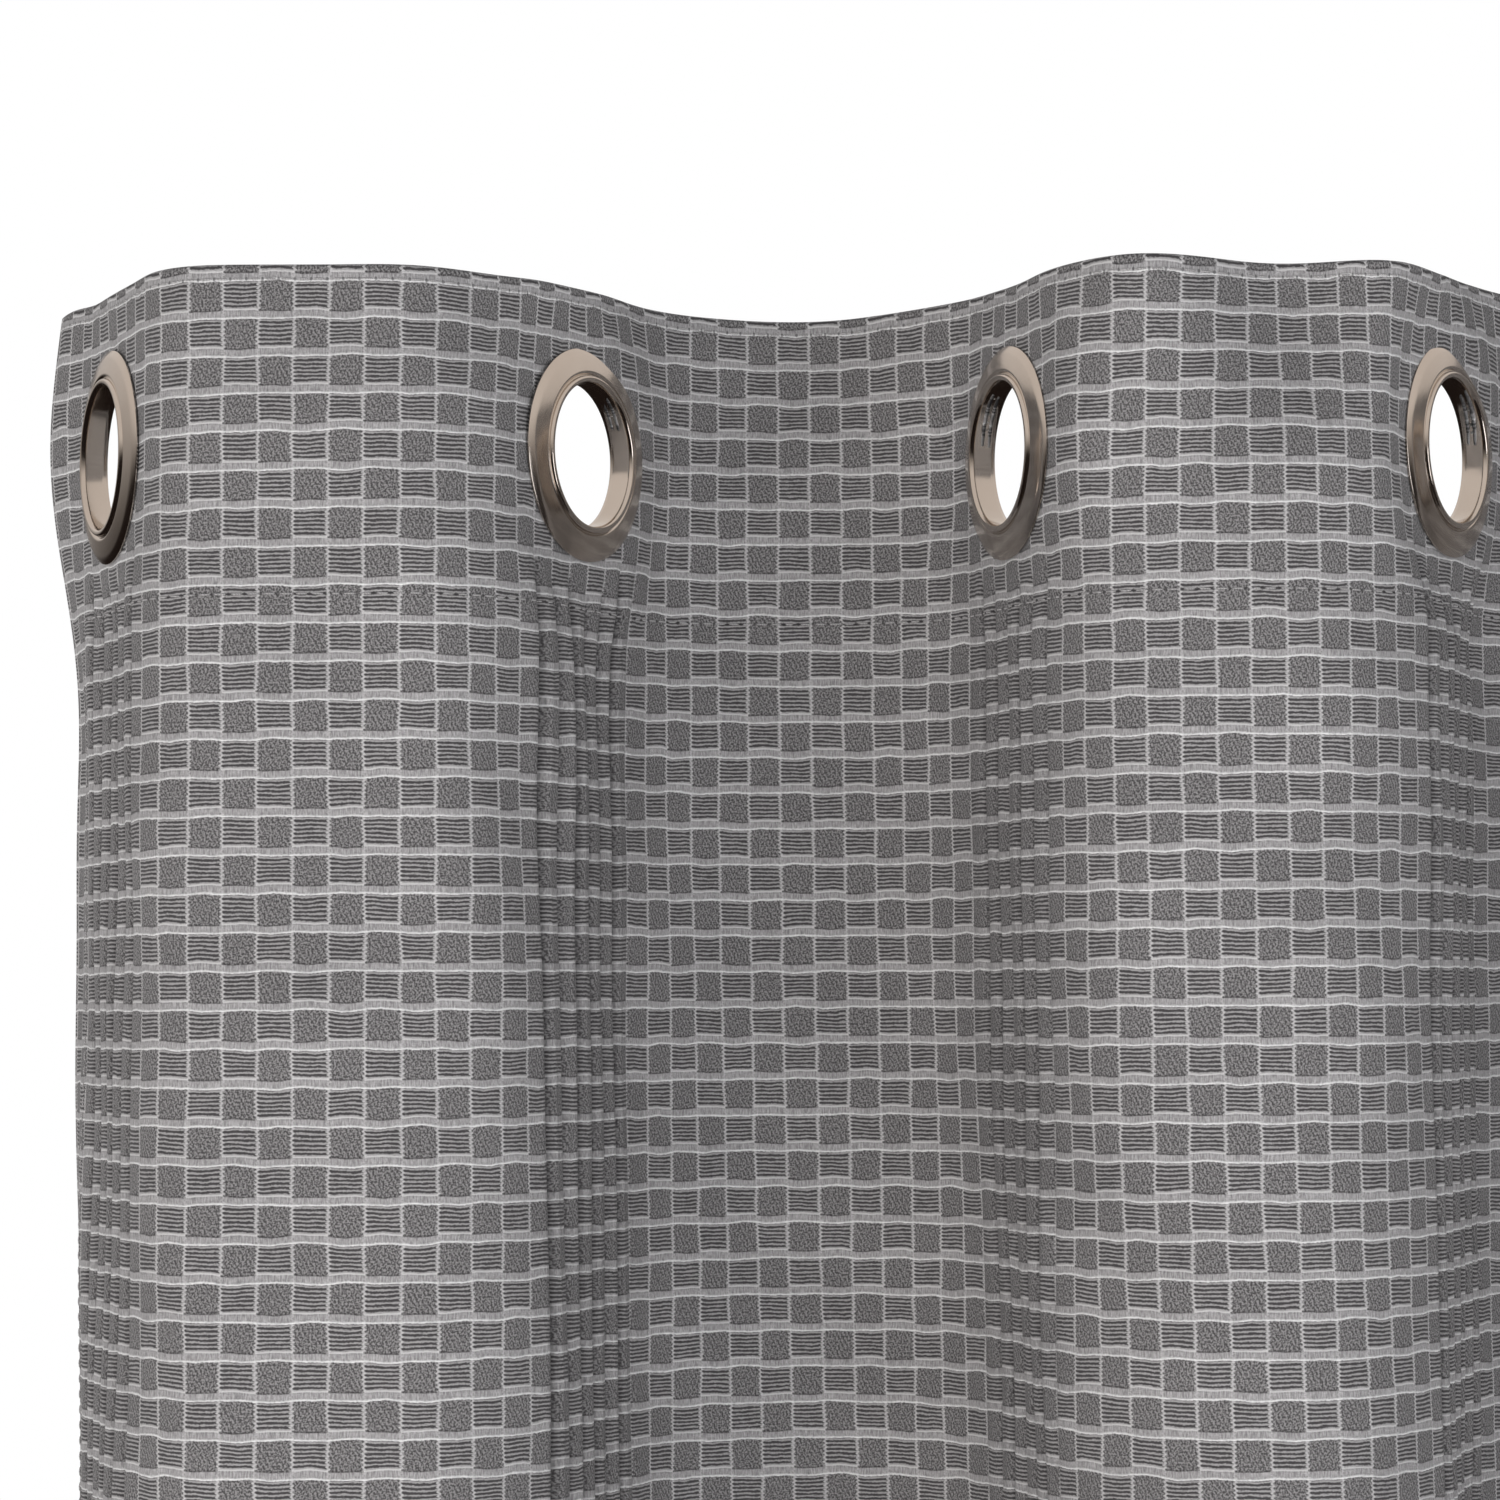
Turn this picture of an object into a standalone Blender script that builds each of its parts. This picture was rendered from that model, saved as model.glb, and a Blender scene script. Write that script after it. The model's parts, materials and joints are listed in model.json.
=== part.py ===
"""Eyelet-headed fabric curtain panel, as separate sub-parts.

The panel hangs from a straight rod that lies along X. Its cloth zigzags along the rod: it passes through
the rod line at each eyelet and swings out to the front (-Y) and to the back (+Y) by turns between them.
The cloth is cut into upright strips, one for each eyelet and one for each fold, so that the strips can
travel as the curtain is drawn. The origin is on the rod's axis, at the first eyelet from the left.
"""

import math

import bmesh
import bpy
import numpy as np
from mathutils import Matrix, Vector

# Driving dimensions, in metres.
EYELET_COUNT = 8
EYELET_SPACING = 0.185  # along the flat cloth
SIDE_TAB = 0.0525  # flat cloth outside the first and the last eyelet
DROP = 2.45  # top edge to bottom edge
HEADING = 0.0915  # height of the doubled, stiffened heading
EYELET_DROP = 0.0465  # top edge to eyelet centre
BOTTOM_HEM = 0.09
CLOTH = 0.0008  # thickness of one layer
STIFFENER = 0.0006
LAYER_GAP = 0.0003  # between the heading's layers
HEM_GAP = 0.0010  # inside the bottom hem
PIECE_GAP = 0.0003  # between neighbouring solids

ROD_RADIUS = 0.0085  # of the rod that the eyelets hang on
BORE_RADIUS = 0.020  # inside the eyelet's barrel
BARREL_WALL = 0.0010
EYELET_RADIUS = 0.030
FRONT_HEIGHT = 0.0034  # how far the front ring stands off the cloth
BACK_HEIGHT = 0.0012
RING_SEGMENTS = 24
# The flanges' outlines from the barrel's wall outwards: shares of the flange's width and of its height.
FRONT_OUTLINE = ((0.28, 1.0), (0.50, 0.8), (0.91, 0.4), (1.0, 0.2), (1.0, 0.0))
BACK_OUTLINE = ((1.0, 0.0), (1.0, 0.36), (0.70, 0.8), (0.17, 1.0), (0.0, 0.8), (0.0, 0.0))
LIP_START = 0.6  # share of the front height at which the lip starts to round off the bore

# The hanging shape, seen from above: the distances between the eyelets along the rod, and the angle
# between the rod and the cloth where it passes through each eyelet.
PITCHES = (0.1297, 0.1211, 0.1202, 0.122, 0.122, 0.122, 0.122)
CLOTH_TURNS = (67.0, 61.0, 72.0, 59.0, 66.0, 66.0, 66.0, 66.0)
RING_ZONE = EYELET_RADIUS + 0.002  # cloth that an eyelet keeps flat, each side of its centre
FREE_TURN = 76.0  # the angle below the heading, where nothing holds the cloth flat
SETTLE_DROP = 0.40  # height in which the folds go over from the held to the free shape
TAB_TURN = 0.35  # share of the cloth's angle that a side tab would lose over twice its length
SWEEP_STEP = 0.0005  # step along the cloth when its curve is worked out
LEAST_BEND = 0.2  # shortest bend, as a share of the cloth between an eyelet's flat zone and the crest
HALVINGS = 20  # of the range in which a fold's bend is looked for

WALL_COLUMNS = 3
END_WALL_COLUMNS = 5
FOLD_COLUMNS = 8
LABEL_COLUMNS = 3

LABEL_WIDTH = 0.025
LABEL_HEIGHT = 0.040
LABEL_THICKNESS = 0.0003
LABEL_ABOVE_EDGE = 0.20
LABEL_INSET = 0.020

COLLECTION = "eyelet_curtain_panel"
CUTTERS = "cutters"

# Heights and offsets that follow from them.
EYELET_Z = ROD_RADIUS - BORE_RADIUS
TOP_Z = EYELET_Z + EYELET_DROP
BOTTOM_Z = TOP_Z - DROP
SEAM_Z = TOP_Z - HEADING
HELD_Z = EYELET_Z - EYELET_RADIUS - 0.004
LAYER = STIFFENER / 2 + LAYER_GAP + CLOTH / 2  # middle of the heading's layers, off its middle plane
STACK = LAYER + CLOTH / 2  # half of the heading's whole thickness
HEM_LAYER = LAYER - CLOTH - HEM_GAP
HALF_FLAT = EYELET_SPACING / 2
PANEL_END = (EYELET_COUNT - 1) * EYELET_SPACING


def smooth(u):
    """0 before u = 0, 1 after u = 1, and an even S between."""
    u = np.clip(u, 0.0, 1.0)
    return u * u * (3.0 - 2.0 * u)


def swept(turn, flat, bend):
    """Distances along and across the rod, at each step from an eyelet to the crest of the fold beside it.

    The cloth leaves the eyelet at the angle turn, stays straight for flat, bends until it is parallel to
    the rod within bend, and stays parallel up to the crest.
    """
    steps = np.arange(0.0, HALF_FLAT + SWEEP_STEP / 2, SWEEP_STEP)
    angle = math.radians(turn) * (1.0 - smooth((steps - flat) / bend))
    along = np.concatenate(([0.0], np.cumsum(np.cos(angle[1:] / 2 + angle[:-1] / 2)) * SWEEP_STEP))
    across = np.concatenate(([0.0], np.cumsum(np.sin(angle[1:] / 2 + angle[:-1] / 2)) * SWEEP_STEP))
    return steps, along, across


def half_fold(turn, flat, reach):
    """The half fold whose crest lies at the distance reach along the rod."""
    least = LEAST_BEND * (HALF_FLAT - flat)
    most = HALF_FLAT - flat
    for _ in range(HALVINGS):
        bend = (least + most) / 2
        if swept(turn, flat, bend)[1][-1] > reach:
            least = bend
        else:
            most = bend
    return swept(turn, flat, bend)


def plan_curve(turns, flat):
    """The cloth's curve from above, as three rows: place along the flat cloth, X and Y."""
    rings_x = np.concatenate(([0.0], np.cumsum(PITCHES)))
    rows = []
    for fold, pitch in enumerate(PITCHES):
        side = -1.0 if fold % 2 == 0 else 1.0
        sides = [half_fold(turn, flat, pitch / 2) for turn in turns[fold : fold + 2]]
        depth = (sides[0][2][-1] + sides[1][2][-1]) / 2
        for end, (steps, along, across) in enumerate(sides):
            late = smooth((steps - flat) / (HALF_FLAT - flat))
            along = along + (pitch / 2 - along[-1]) * late
            across = (across + (depth - across[-1]) * late) * side
            if end == 0:
                rows.append((fold * EYELET_SPACING + steps, rings_x[fold] + along, across))
            else:
                place = (fold + 1) * EYELET_SPACING - steps
                rows.append((place[::-1], rings_x[fold + 1] - along[::-1], across[::-1]))
    # The side tabs carry on behind the rod line, and turn a little towards the rod's direction.
    tab = np.arange(SWEEP_STEP, SIDE_TAB + 2 * SWEEP_STEP, SWEEP_STEP)
    for ring, way in ((0, -1.0), (EYELET_COUNT - 1, 1.0)):
        angle = math.radians(turns[ring]) * (1.0 - TAB_TURN * smooth((tab - flat) / (2 * SIDE_TAB - flat)))
        along = np.cumsum(np.cos(angle)) * SWEEP_STEP * way + rings_x[ring]
        across = np.cumsum(np.sin(angle)) * SWEEP_STEP
        place = ring * EYELET_SPACING + way * tab
        if way < 0:
            rows.insert(0, (place[::-1], along[::-1], across[::-1]))
        else:
            rows.append((place, along, across))
    curve = np.array([np.concatenate(parts) for parts in zip(*rows, strict=True)])
    places, first = np.unique(curve[0].round(7), return_index=True)
    return np.array([places, curve[1][first], curve[2][first]])


HELD = plan_curve(CLOTH_TURNS, RING_ZONE)
FREE = plan_curve((FREE_TURN,) * EYELET_COUNT, 0.0)


def on_curve(curve, place):
    return np.array([np.interp(place, curve[0], curve[1]), np.interp(place, curve[0], curve[2])])


def cloth_point(place, z, offset):
    """A point off the heading's middle surface, where offset is towards the cloth's right side."""
    settled = float(smooth((HELD_Z - z) / SETTLE_DROP))

    def plan(at):
        return on_curve(HELD, at) * (1.0 - settled) + on_curve(FREE, at) * settled

    here = plan(place)
    ahead = plan(place + SWEEP_STEP) - plan(place - SWEEP_STEP)
    ahead /= np.linalg.norm(ahead)
    return Vector((here[0] + ahead[1] * offset, here[1] - ahead[0] * offset, z))


def ring_matrix(ring):
    """Places an eyelet: local +Z is its axis, out of the cloth's right side, and local Y is upright."""
    place = ring * EYELET_SPACING
    centre = cloth_point(place, EYELET_Z, 0.0)
    axis = (cloth_point(place, EYELET_Z, 0.001) - centre).normalized()
    upright = Vector((0.0, 0.0, 1.0))
    turned = Matrix((upright.cross(axis), upright, axis)).transposed()
    return Matrix.Translation(centre) @ turned.to_4x4()


def material(name, colour, roughness, metallic=0.0):
    made = bpy.data.materials.new(name)
    made.use_nodes = True
    shader = made.node_tree.nodes["Principled BSDF"]
    shader.inputs["Base Color"].default_value = (*colour, 1.0)
    shader.inputs["Roughness"].default_value = roughness
    shader.inputs["Metallic"].default_value = metallic
    made.diffuse_color = (*colour, 1.0)
    return made


def add_object(name, mesh, collection, coat=None):
    made = bpy.data.objects.new(name, mesh)
    bpy.data.collections[collection].objects.link(made)
    if coat:
        mesh.materials.append(coat)
    return made


def sheet_object(name, places, route, thickness, coat):
    """An upright sheet: places along the flat cloth, by a route of (height, offset) points down it."""
    mesh = bpy.data.meshes.new(name)
    grid = bmesh.new()
    columns, rows = len(places) - 1, len(route) - 1
    bmesh.ops.create_grid(grid, x_segments=columns, y_segments=rows, size=1.0)
    for vertex in grid.verts:
        column = round((vertex.co.x + 1.0) / 2.0 * columns)
        row = round((vertex.co.y + 1.0) / 2.0 * rows)
        z, offset = route[row]
        vertex.co = cloth_point(places[column], z, offset)
    bmesh.ops.recalc_face_normals(grid, faces=grid.faces)
    grid.to_mesh(mesh)
    grid.free()
    sheet = add_object(name, mesh, COLLECTION, coat)
    solidify = sheet.modifiers.new("thickness", "SOLIDIFY")
    solidify.thickness = thickness
    solidify.offset = 0.0
    solidify.use_even_offset = True
    return sheet


def cut_bore(sheet, ring):
    """Punches the eyelet's hole, which clears its barrel, through every layer of a sheet."""
    cutter = bpy.data.objects.get(f"punch_{ring + 1}")
    if cutter is None:
        mesh = bpy.data.meshes.new(f"punch_{ring + 1}")
        body = bmesh.new()
        radius = BORE_RADIUS + BARREL_WALL + PIECE_GAP
        bmesh.ops.create_cone(
            body,
            cap_ends=True,
            segments=RING_SEGMENTS,
            radius1=radius / math.cos(math.pi / RING_SEGMENTS),
            radius2=radius / math.cos(math.pi / RING_SEGMENTS),
            depth=6 * STACK,  # three times the heading's thickness
        )
        body.to_mesh(mesh)
        body.free()
        cutter = add_object(f"punch_{ring + 1}", mesh, CUTTERS)
        cutter.matrix_world = ring_matrix(ring)
        cutter.hide_render = True
        cutter.display_type = "WIRE"
    punch = sheet.modifiers.new("eyelet_hole", "BOOLEAN")
    punch.operation = "DIFFERENCE"
    punch.solver = "EXACT"
    punch.object = cutter


def heights(low, high):
    """The heights between low and high at which the hanging shape is set out, from the lowest up."""
    settling = [HELD_Z - SETTLE_DROP * share for share in (1.0, 0.75, 0.5, 0.25, 0.0)]
    marks = [BOTTOM_Z + BOTTOM_HEM, (BOTTOM_Z + BOTTOM_HEM + settling[0]) / 2, SEAM_Z, *settling]
    return sorted(z for z in marks if low + CLOTH < z < high - CLOTH)


def cloth_route():
    """The cloth's way from inside the bottom hem, up the right side, over the top and down inside."""
    low, high = BOTTOM_Z + (LAYER - HEM_LAYER) / 2, TOP_Z - LAYER
    route = [(BOTTOM_Z + BOTTOM_HEM, HEM_LAYER), (low, HEM_LAYER)]
    route += [(BOTTOM_Z, (HEM_LAYER + LAYER) / 2)]
    route += [(z, LAYER) for z in (low, *heights(low, high), high)]
    route += [(TOP_Z, 0.0)]
    route += [(z, -LAYER) for z in (high, *reversed(heights(SEAM_Z, high)), SEAM_Z)]
    return route


def stiffener_route():
    low, high = SEAM_Z + CLOTH, TOP_Z - LAYER - CLOTH
    return [(z, 0.0) for z in (low, *heights(low, high), high)]


def turned_ring(name, profile, ring, coat):
    """A turned ring: profile is (radius, height) points from its top, down the outside and back inside."""
    mesh = bpy.data.meshes.new(name)
    outline = bmesh.new()
    points = [outline.verts.new((radius, 0.0, height)) for radius, height in profile]
    for first, second in zip(points, points[1:] + points[:1], strict=True):
        outline.edges.new((first, second))
    outline.to_mesh(mesh)
    outline.free()
    made = add_object(name, mesh, COLLECTION, coat)
    made.matrix_world = ring_matrix(ring)
    screw = made.modifiers.new("turn", "SCREW")
    screw.axis = "Z"
    screw.steps = RING_SEGMENTS
    screw.render_steps = RING_SEGMENTS
    screw.use_merge_vertices = True
    screw.merge_threshold = 0.00001
    screw.use_normal_calculate = True
    return made


def front_ring(ring, coat):
    """The decorative ring: a domed flange with a rolled lip, and the barrel through the cloth."""
    seat = STACK + PIECE_GAP
    top = seat + FRONT_HEIGHT
    barrel_end = -(STACK + PIECE_GAP + BACK_HEIGHT)
    wall = BORE_RADIUS + BARREL_WALL
    flange = EYELET_RADIUS - wall
    profile = [(wall + width * flange, seat + height * FRONT_HEIGHT) for width, height in FRONT_OUTLINE]
    profile += [
        (wall, seat),
        (wall, barrel_end),
        (BORE_RADIUS, barrel_end),
        (BORE_RADIUS, seat + LIP_START * FRONT_HEIGHT),
        (wall, (top + seat + LIP_START * FRONT_HEIGHT) / 2),
    ]
    return turned_ring(f"eyelet_front_{ring + 1}", profile, ring, coat)


def back_ring(ring, coat):
    """The snap ring behind the cloth, which grips the front ring's barrel."""
    seat = -(STACK + PIECE_GAP)
    inside = BORE_RADIUS + BARREL_WALL + PIECE_GAP
    flange = EYELET_RADIUS - inside
    profile = [(inside + width * flange, seat - height * BACK_HEIGHT) for width, height in BACK_OUTLINE]
    return turned_ring(f"eyelet_back_{ring + 1}", profile, ring, coat)


def main():
    for old in list(bpy.data.objects):
        bpy.data.objects.remove(old)
    for name in (COLLECTION, CUTTERS):
        bpy.context.scene.collection.children.link(bpy.data.collections.new(name))

    cloth = material("grey_woven_polyester", (0.165, 0.160, 0.168), 0.9)
    webbing = material("white_nonwoven_stiffener", (0.80, 0.80, 0.78), 0.95)
    nickel = material("satin_nickel", (0.62, 0.56, 0.50), 0.28, 1.0)
    satin = material("white_satin_label", (0.85, 0.85, 0.83), 0.6)

    half_gap = PIECE_GAP / 2
    for ring in range(EYELET_COUNT):
        place = ring * EYELET_SPACING
        low = -SIDE_TAB if ring == 0 else place - RING_ZONE + half_gap
        high = PANEL_END + SIDE_TAB if ring == EYELET_COUNT - 1 else place + RING_ZONE - half_gap
        columns = END_WALL_COLUMNS if ring in (0, EYELET_COUNT - 1) else WALL_COLUMNS
        places = np.linspace(low, high, columns + 1)
        sheet = sheet_object(f"cloth_wall_{ring + 1}", places, cloth_route(), CLOTH, cloth)
        cut_bore(sheet, ring)
        inner = sheet_object(f"stiffener_wall_{ring + 1}", places, stiffener_route(), STIFFENER, webbing)
        cut_bore(inner, ring)
        front_ring(ring, nickel)
        back_ring(ring, nickel)

    for fold in range(EYELET_COUNT - 1):
        low = fold * EYELET_SPACING + RING_ZONE + half_gap
        high = (fold + 1) * EYELET_SPACING - RING_ZONE - half_gap
        places = np.linspace(low, high, FOLD_COLUMNS + 1)
        sheet_object(f"cloth_fold_{fold + 1}", places, cloth_route(), CLOTH, cloth)
        sheet_object(f"stiffener_fold_{fold + 1}", places, stiffener_route(), STIFFENER, webbing)

    label_offset = LAYER - CLOTH / 2 - PIECE_GAP - LABEL_THICKNESS / 2
    label_low = BOTTOM_Z + BOTTOM_HEM + LABEL_ABOVE_EDGE
    label_end = PANEL_END + SIDE_TAB - LABEL_INSET
    sheet_object(
        "care_label",
        np.linspace(label_end - LABEL_WIDTH, label_end, LABEL_COLUMNS + 1),
        [(label_low, label_offset), (label_low + LABEL_HEIGHT, label_offset)],
        LABEL_THICKNESS,
        satin,
    )


main()
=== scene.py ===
"""The looks of the eyelet curtain panel: checked dobby cloth, its stitching, stiffener, eyelets and label.

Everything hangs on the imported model. The cloth's curve along the rod is worked out with the same rules
as the CAD's, from the eyelets' places in the frame, and then gets the lean, swell and creases of real
cloth. Lengths are in metres unless a name says otherwise.
"""

import functools
import json
import math

import bpy
import numpy as np
from mathutils import Matrix, Vector


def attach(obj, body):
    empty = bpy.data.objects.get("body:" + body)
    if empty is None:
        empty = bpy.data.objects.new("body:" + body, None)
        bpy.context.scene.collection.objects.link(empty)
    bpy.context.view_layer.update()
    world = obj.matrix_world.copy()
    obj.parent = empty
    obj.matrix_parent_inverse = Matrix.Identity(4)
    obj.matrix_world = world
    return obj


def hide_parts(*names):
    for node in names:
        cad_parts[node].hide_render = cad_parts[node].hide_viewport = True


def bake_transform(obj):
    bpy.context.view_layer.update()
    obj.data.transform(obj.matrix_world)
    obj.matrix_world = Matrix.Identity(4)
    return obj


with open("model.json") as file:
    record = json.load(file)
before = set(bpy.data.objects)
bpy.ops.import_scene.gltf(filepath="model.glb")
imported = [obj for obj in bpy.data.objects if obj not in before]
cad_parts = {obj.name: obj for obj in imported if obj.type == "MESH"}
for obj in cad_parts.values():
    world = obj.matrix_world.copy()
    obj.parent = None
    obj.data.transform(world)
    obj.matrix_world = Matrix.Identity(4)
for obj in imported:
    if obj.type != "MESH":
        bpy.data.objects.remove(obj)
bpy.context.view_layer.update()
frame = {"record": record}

# The panel's sizes, as in the CAD.
EYELET_SPACING = 0.185  # along the flat cloth
SIDE_TAB = 0.0525
DROP = 2.45
HEADING = 0.0915
EYELET_DROP = 0.0465  # top edge to eyelet centre
BOTTOM_HEM = 0.09
SIDE_HEM = 0.022
CLOTH = 0.0008
STIFFENER = 0.0006
LAYER = 0.0010  # the middle of the outer layer, in front of the heading's middle surface
HEM_LAYER = -0.0008  # the middle of the bottom hem's inner layer
STACK = 0.0014  # the heading's middle surface to its outside
SIDE_TURN = 0.00055  # radius of the side hems' fold
FOLD_CLEAR = 0.004  # how far a side hem or the stiffener stays from the top and bottom folds
HEM_CLEAR = 0.002  # how far the stiffener stays from a side hem and from the heading's foot
PIECE_GAP = 0.0003
BORE_RADIUS = 0.020
BARREL_WALL = 0.0010
EYELET_RADIUS = 0.030
FRONT_HEIGHT = 0.0034
BACK_HEIGHT = 0.0012
HOLE_RADIUS = BORE_RADIUS + BARREL_WALL + 2 * PIECE_GAP
STIFFENER_HOLE = 0.022  # radius
HOLE_SNAP = 0.006  # how far the cloth's mesh is drawn on to the hole's edge
CLOTH_TURNS = (67.0, 61.0, 72.0, 59.0, 66.0, 66.0, 66.0, 66.0)
RING_ZONE = EYELET_RADIUS + 0.002
FREE_TURN = 76.0
SETTLE_DROP = 0.40
SWEEP_STEP = 0.0005
LABEL_WIDTH = 0.025
LABEL_HEIGHT = 0.040
LABEL_THICKNESS = 0.0003
LABEL_ABOVE_EDGE = 0.20
LABEL_INSET = 0.020

RODWAYS = [np.array(o["box_m"]) for o in frame["record"]["physics"]["openings"]]
RINGS_X = [float(box[:, 0].mean()) for box in RODWAYS]
PITCHES = np.diff(RINGS_X)
EYELET_Z = float(RODWAYS[0][:, 2].mean())
EYELET_COUNT = len(RINGS_X)
HALF_FLAT = EYELET_SPACING / 2
PANEL_END = (EYELET_COUNT - 1) * EYELET_SPACING
TOP_Z = EYELET_Z + EYELET_DROP
BOTTOM_Z = TOP_Z - DROP
SEAM_Z = TOP_Z - HEADING
HELD_Z = EYELET_Z - EYELET_RADIUS - 0.004
LEFT_EDGE = -SIDE_TAB
RIGHT_EDGE = PANEL_END + SIDE_TAB
TINY = 1e-6

# What hanging does to the cloth, beyond the CAD's plain folds.
ROUNDNESS = (0.25, 0.95, 0.60, 0.80, 0.45, 0.75, 0.55)  # how far each fold is free of its eyelets' hold
NEAR_RING = 0.030  # beyond its flat zone, where an eyelet's hold fades
# Waves of the top edge, between the stiff rings: place along the cloth, width, and depth towards the back.
EDGE_WAVES = (
    (-0.045, 0.020, -0.012), (0.092, 0.025, 0.004), (0.138, 0.022, 0.011), (0.210, 0.030, -0.008),
    (0.280, 0.025, 0.006), (0.335, 0.030, -0.012), (0.430, 0.022, -0.008), (0.474, 0.028, 0.016),
    (0.595, 0.040, -0.016), (0.700, 0.030, 0.006),
    (0.845, 0.035, 0.009), (1.020, 0.030, -0.008), (1.200, 0.040, 0.007),
)
EDGE_WAVE_DROP = 0.06
# How much higher than level the top edge stands: places along the cloth, and the rise at each.
EDGE_RISE = (
    (-0.05, 0.37, 0.46, 0.555, 0.66, 0.90, 1.35),
    (-0.0004, 0.0002, 0.0005, 0.0022, 0.0015, -0.0004, 0.0004),
)
SWELL = (0.0, 0.004, 0.014, 0.008, 0.004, 0.010, 0.002)  # how much deeper each fold hangs low down
SWELL_DROP = 0.38
CREASES = (0.0032, 0.0056, 0.0030, 0.0052, 0.0034, 0.0050, 0.0032, 0.0034)  # their depth at each eyelet
CREASE_ZONE = 0.038
CREASE_WIDTH = 0.0011  # of the sharp bottom of a crease; the cloth bulges between two of them
# Where the cloth's mesh has its columns, off the middle of a crease.
CREASE_STEPS = (-0.0034, -0.0020, -0.0012, -0.0006, 0.0, 0.0006, 0.0012, 0.0020, 0.0034, 0.00475)
BLEND_MARGIN = 0.006  # cloth by a seam between pieces that stays with its own body

# The weave, and the stitching on it, in millimetres along the flat cloth.
CHECK_WIDTH_MM = 9.5
CHECK_HEIGHT_MM = 10.33
FIRST_ROW_MM = 4.6  # top edge to the first float line
COLUMN_SHIFT_MM = 3.0
RIB_MM = 1.155
STITCH = 0.00435
THREAD_RADIUS = 0.00024
TOP_STITCH = 0.0042  # below the top edge
SEAM_STITCH = 0.0897  # below the top edge
HEM_STITCH = BOTTOM_HEM - 0.003  # above the bottom edge
SIDE_STITCH = SIDE_HEM - 0.0025  # inside a side edge
STITCH_GAP = 0.10 * STITCH
THREAD_TAPER = (0.55, 0.95, 1.0, 0.95, 0.55)  # thickness along one stitch
FLAT_STEP = 0.0027  # between the mesh's columns, away from the creases
INNER_STEP = 0.002  # between the rows of the stiffener's and the label's mesh
LATHE_STEPS = 144
ARC_POINTS = 6


def smooth(u):
    u = np.clip(u, 0.0, 1.0)
    return u * u * (3.0 - 2.0 * u)


# ---------------------------------------------------------------------------------------------------
# Camera and studio
# ---------------------------------------------------------------------------------------------------

CAMERA_BACK = 1.20  # in front of the rod
CAMERA_X = 0.1769
CAMERA_Z = -0.1640
CAMERA_LENS = 103.5
CAMERA_TILT = math.radians(3.33)
CAMERA_ROLL = math.radians(0.28)


def add_camera():
    camera = bpy.data.objects.new("camera", bpy.data.cameras.new("camera"))
    bpy.context.scene.collection.objects.link(camera)
    camera.data.lens = CAMERA_LENS
    camera.data.sensor_width = 36.0
    camera.data.clip_end = 60.0
    upright = Matrix.Rotation(math.pi / 2 + CAMERA_TILT, 4, "X") @ Matrix.Rotation(-CAMERA_ROLL, 4, "Z")
    camera.matrix_world = Matrix.Translation((CAMERA_X, -CAMERA_BACK, CAMERA_Z)) @ upright
    bpy.context.scene.camera = camera


def linear(hex_colour):
    """An sRGB hex colour as linear RGBA."""
    values = [int(hex_colour[i : i + 2], 16) / 255 for i in (0, 2, 4)]
    return (*(v / 12.92 if v <= 0.04045 else ((v + 0.055) / 1.055) ** 2.4 for v in values), 1.0)


def wire(tree, socket, value):
    """Sets a socket to a number or a colour, or links it to a socket or to a node's first output in use."""
    if isinstance(value, bpy.types.Node):
        value = next(output for output in value.outputs if output.enabled)
    if isinstance(value, bpy.types.NodeSocket):
        tree.links.new(value, socket)
    else:
        socket.default_value = value


def add(tree, kind, *inputs, **named):
    """Adds a shader node; a kind in capitals is a Math operation. The inputs in use are filled in order and
    then by name, and the other names are the node's own settings."""
    node = tree.nodes.new("ShaderNode" + ("Math" if kind.isupper() else kind))
    if kind.isupper():
        node.operation = kind
    for name, value in named.items():
        if name not in node.inputs:
            setattr(node, name, value)
    for socket, value in zip([socket for socket in node.inputs if socket.enabled], inputs):
        wire(tree, socket, value)
    for name, value in named.items():
        if name in node.inputs:
            wire(tree, node.inputs[name], value)
    return node


SOFT = {"interpolation_type": "SMOOTHSTEP"}
COLOURS = {"data_type": "RGBA"}
WHITE = (1.0, 1.0, 1.0, 1.0)


def new_material(name):
    """A material, and the function that adds nodes to it."""
    made = bpy.data.materials.new(name)
    made.use_nodes = True
    return made, functools.partial(add, made.node_tree)


def surface(made, finish):
    """Gives the material's shader its finish, by the names of the shader's inputs."""
    shader = made.node_tree.nodes["Principled BSDF"]
    for name, value in finish.items():
        wire(made.node_tree, shader.inputs[name], value)
    return made


def area_light(name, place, target, size, power, colour, mirrored=True):
    light = bpy.data.objects.new(name, bpy.data.lights.new(name, "AREA"))
    light.visible_glossy = mirrored
    light.data.shape = "RECTANGLE"
    light.data.size, light.data.size_y = size
    light.data.energy = power
    light.data.color = linear(colour)[:3]
    light.location = place
    light.rotation_euler = (Vector(target) - Vector(place)).to_track_quat("-Z", "Y").to_euler()
    bpy.context.scene.collection.objects.link(light)


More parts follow.
